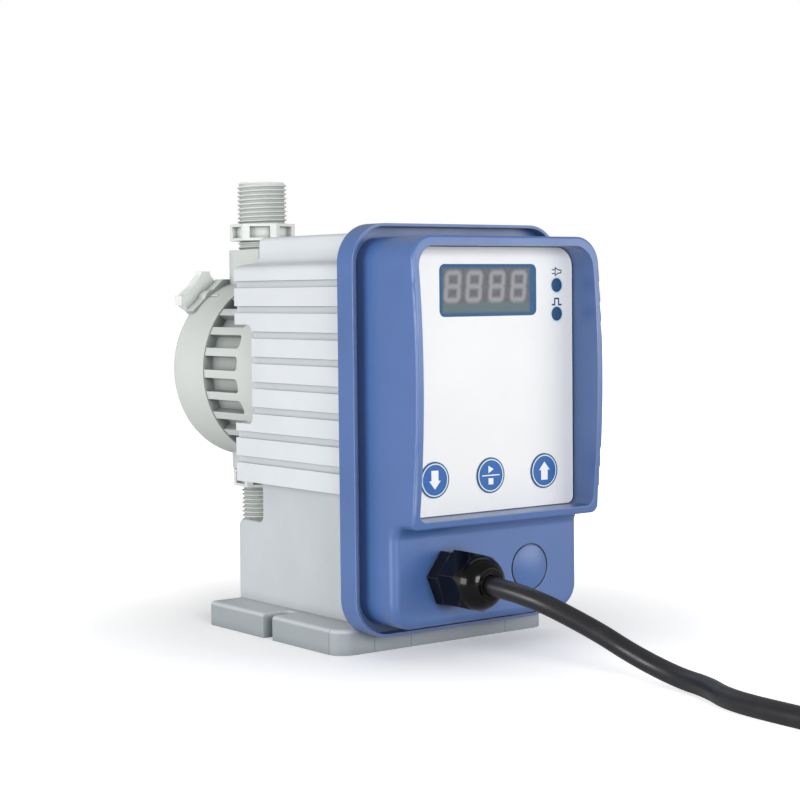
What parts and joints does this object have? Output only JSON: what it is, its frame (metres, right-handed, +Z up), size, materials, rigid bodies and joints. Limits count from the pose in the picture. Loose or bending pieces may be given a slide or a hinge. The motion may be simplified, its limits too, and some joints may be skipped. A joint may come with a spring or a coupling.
{
  "type": "diaphragm metering pump",
  "caption": "Solenoid diaphragm metering pump: finned housing on a slotted foot, recessed control panel, pump head with suction and discharge valves, and a mains cord.",
  "frame": {"origin": "midpoint between the two slots of the foot, on its underside", "axes": "+X to the right when facing the control panel, -Y out of the panel, +Y towards the pump head, +Z up"},
  "size_m": [0.1287, 0.4714, 0.1788],
  "materials": {
    "base_plastic": "satin",
    "housing_plastic": "satin",
    "cover_plastic": "satin",
    "gasket_rubber": "matte",
    "label_film": "semi-gloss film",
    "window_film": "gloss",
    "led_lens": "gloss",
    "key_film": "semi-gloss film",
    "board": "varnished",
    "display": "gloss",
    "switch_plastic": "matte",
    "gland_plastic": "gloss",
    "gland_rubber": "matte",
    "yoke_steel": "turned",
    "bobbin_plastic": "matte",
    "copper": "enamelled wire",
    "sleeve_brass": "drawn",
    "armature_steel": "ground",
    "bushing_bronze": "sintered",
    "spring_steel": "drawn wire",
    "head_plastic": "satin",
    "diaphragm_rubber": "matte",
    "valve_plastic": "satin",
    "seat_rubber": "matte",
    "ball_ceramic": "polished ceramic",
    "screw_steel": "stainless",
    "knob_plastic": "satin",
    "cord_rubber": "matte",
    "plug_rubber": "matte",
    "pin_metal": "nickel plated"
  },
  "bodies": {
    "pump": {"base": "base_plastic", "housing": "housing_plastic", "cover_gasket": "gasket_rubber", "front_cover": "cover_plastic", "label_panel": "label_film", "display_window": "window_film", "status_leds": "led_lens", "circuit_board": "board", "display_module": "display", "key_switches": "switch_plastic", "blanking_plug": "cover_plastic", "gland_body": "gland_plastic", "gland_seal": "gland_rubber", "gland_locknut": "gland_plastic", "gland_nut": "gland_plastic", "yoke_cup": "yoke_steel", "yoke_plate": "yoke_steel", "guide_sleeve": "sleeve_brass", "coil_bobbin": "bobbin_plastic", "solenoid_winding": "copper", "shaft_bushing": "bushing_bronze", "nose_nut": "screw_steel", "return_spring": "spring_steel", "lantern": "head_plastic", "diaphragm": "diaphragm_rubber", "pump_head": "head_plastic", "discharge_valve": "valve_plastic", "discharge_seat": "seat_rubber", "suction_valve": "valve_plastic", "suction_seat": "seat_rubber", "suction_cage": "valve_plastic", "head_screws": "screw_steel", "cover_screws": "screw_steel", "lantern_screws": "screw_steel", "base_screws": "screw_steel", "cord": "cord_rubber", "cord_tail": "cord_rubber", "cord_coil": "cord_rubber", "plug": "plug_rubber", "plug_pins": "pin_metal"},
    "armature": {"armature": "armature_steel", "plunger_shaft": "armature_steel", "backing_disc": "armature_steel"},
    "discharge_ball": {"discharge_ball": "ball_ceramic"},
    "suction_ball": {"suction_ball": "ball_ceramic"},
    "key_down": {"key_down": "key_film"},
    "key_start_stop": {"key_start_stop": "key_film"},
    "key_up": {"key_up": "key_film"},
    "bleed_knob": {"bleed_knob": "knob_plastic"}
  },
  "joints": [
    {"name": "armature_stroke", "type": "slide", "parent": "pump", "child": "armature", "axis": [0, 1, 0], "range_m": [0, 0.00125], "stiffness_N_per_m": 4000, "deforming": ["return_spring", "diaphragm"]},
    {"name": "discharge_ball_lift", "type": "slide", "parent": "pump", "child": "discharge_ball", "axis": [0, 0, 1], "range_m": [0, 0.002]},
    {"name": "suction_ball_lift", "type": "slide", "parent": "pump", "child": "suction_ball", "axis": [0, 0, 1], "range_m": [0, 0.002]},
    {"name": "key_down_press", "type": "slide", "parent": "pump", "child": "key_down", "axis": [0, 1, 0], "range_m": [0, 0.0004], "stiffness_N_per_m": 3000},
    {"name": "key_start_stop_press", "type": "slide", "parent": "pump", "child": "key_start_stop", "axis": [0, 1, 0], "range_m": [0, 0.0004], "stiffness_N_per_m": 3000},
    {"name": "key_up_press", "type": "slide", "parent": "pump", "child": "key_up", "axis": [0, 1, 0], "range_m": [0, 0.0004], "stiffness_N_per_m": 3000},
    {"name": "bleed_turn", "type": "hinge", "parent": "pump", "child": "bleed_knob", "pos_m": [-0.0205, 0.09, 0.1293], "axis": [0, 1, 0], "range_deg": [0, 360]}
  ]
}
